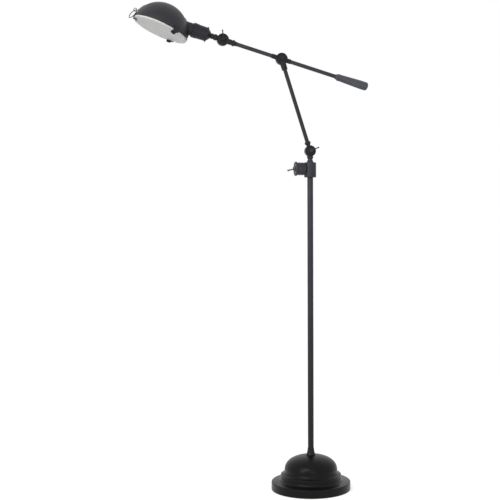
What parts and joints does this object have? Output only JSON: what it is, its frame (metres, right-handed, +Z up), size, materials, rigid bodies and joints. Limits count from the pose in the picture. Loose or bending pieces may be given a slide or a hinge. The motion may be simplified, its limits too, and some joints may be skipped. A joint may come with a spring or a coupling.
{
  "type": "floor lamp",
  "caption": "Floor lamp with a stepped round base, slim pole, jointed balance arm with counterweight, and a tilting dome shade with a frosted lens and pull ring.",
  "frame": {"origin": "on the pole's axis, on the floor", "axes": "+Z up along the pole, -X towards the shade, +X towards the counterweight, -Y towards the thumb levers"},
  "size_m": [0.7707, 0.2562, 1.5402],
  "materials": {
    "bronze": "satin oil-rubbed bronze lacquer",
    "iron": "rough casting",
    "felt": "black felt",
    "steel": "zinc plated",
    "brass": "plain turned brass",
    "chrome": "nickel plated",
    "black_plastic": "moulded",
    "porcelain": "glazed porcelain",
    "bulb_glass": "clear tubular lamp glass",
    "frosted_glass": "frosted on its upper face"
  },
  "bodies": {
    "stand": {"base_pad": "felt", "base_weight": "iron", "base_cover": "bronze", "base_washer": "steel", "base_nut": "steel", "center_nipple": "brass", "cord_bushing": "black_plastic", "pole_insert": "steel", "pole_tube": "bronze", "base_neck": "bronze", "switch_housing": "bronze", "switch_cup": "bronze", "switch_end_cap": "bronze", "end_cap_screws": "bronze", "switch_body": "black_plastic", "switch_nut": "chrome"},
    "toggle": {"switch_toggle": "chrome"},
    "swivel": {"neck_cone": "bronze", "swivel_nut": "steel", "swivel_knuckle": "bronze", "low_friction_washer": "black_plastic", "low_pivot_bolt": "bronze"},
    "low_lever": {"low_thumb_lever": "bronze"},
    "lower_arm": {"low_arm_knuckle": "bronze", "lower_arm_tube": "bronze", "lower_arm_ferrules": "bronze", "mid_arm_knuckle": "bronze", "mid_friction_washer": "black_plastic"},
    "mid_lever": {"mid_thumb_lever": "bronze"},
    "balance_arm": {"balance_hub": "bronze", "mid_pivot_bolt": "bronze", "front_rod": "bronze", "rear_rod": "bronze", "head_arm_knuckle": "bronze", "front_rod_ferrule": "bronze", "counterweight": "bronze", "counterweight_collar": "bronze", "counterweight_end_cap": "bronze", "head_friction_washer": "black_plastic"},
    "head_lever": {"head_thumb_lever": "bronze"},
    "head_tilt": {"head_knuckle": "bronze", "head_pivot_bolt": "bronze", "head_nut": "steel"},
    "head": {"neck_ring": "bronze", "socket_cap": "bronze", "socket_screws": "bronze", "socket_cup": "bronze", "lampholder": "porcelain", "bulb_base": "brass", "bulb_glass": "bulb_glass", "shade_fitter": "bronze", "shade": "bronze", "shade_rivets": "bronze", "lens": "frosted_glass", "lens_clips": "bronze", "ring_lug": "bronze"},
    "pull_ring": {"pull_ring": "bronze"}
  },
  "joints": [
    {"name": "neck_swivel", "type": "hinge", "parent": "stand", "child": "swivel", "pos_m": [0, 0, 1.05], "axis": [0, 0, 1], "range_deg": [-160, 160]},
    {"name": "lower_arm_hinge", "type": "hinge", "parent": "swivel", "child": "lower_arm", "pos_m": [0, 0, 1.0868], "axis": [0, -1, 0], "range_deg": [-55, 42]},
    {"name": "balance_arm_hinge", "type": "hinge", "parent": "lower_arm", "child": "balance_arm", "pos_m": [-0.09349, 0, 1.37974], "axis": [0, -1, 0], "range_deg": [-4, 45]},
    {"name": "head_tilt_hinge", "type": "hinge", "parent": "balance_arm", "child": "head_tilt", "pos_m": [-0.28314, 0, 1.43305], "axis": [0, -1, 0], "range_deg": [-75, 75]},
    {"name": "head_roll", "type": "hinge", "parent": "head_tilt", "child": "head", "pos_m": [-0.28314, 0, 1.43305], "axis": [-0.9627, 0, 0.2706], "range_deg": [-90, 90]},
    {"name": "switch_toggle_throw", "type": "hinge", "parent": "stand", "child": "toggle", "pos_m": [-0.0525, 0, 1.029], "axis": [0, 1, 0], "range_deg": [0, 32]},
    {"name": "low_lever_turn", "type": "hinge", "parent": "swivel", "child": "low_lever", "pos_m": [0, 0, 1.0868], "axis": [0, 1, 0], "range_deg": [-30, 60]},
    {"name": "mid_lever_turn", "type": "hinge", "parent": "balance_arm", "child": "mid_lever", "pos_m": [-0.09349, 0, 1.37974], "axis": [0, 1, 0], "range_deg": [-30, 60]},
    {"name": "head_lever_turn", "type": "hinge", "parent": "head_tilt", "child": "head_lever", "pos_m": [-0.28314, 0, 1.43305], "axis": [0, 1, 0], "range_deg": [-30, 60]},
    {"name": "pull_ring_swing", "type": "hinge", "parent": "head", "child": "pull_ring", "pos_m": [-0.55594, 0, 1.51298], "axis": [-0.515, 0.8572, 0], "range_deg": [0, 95]}
  ]
}
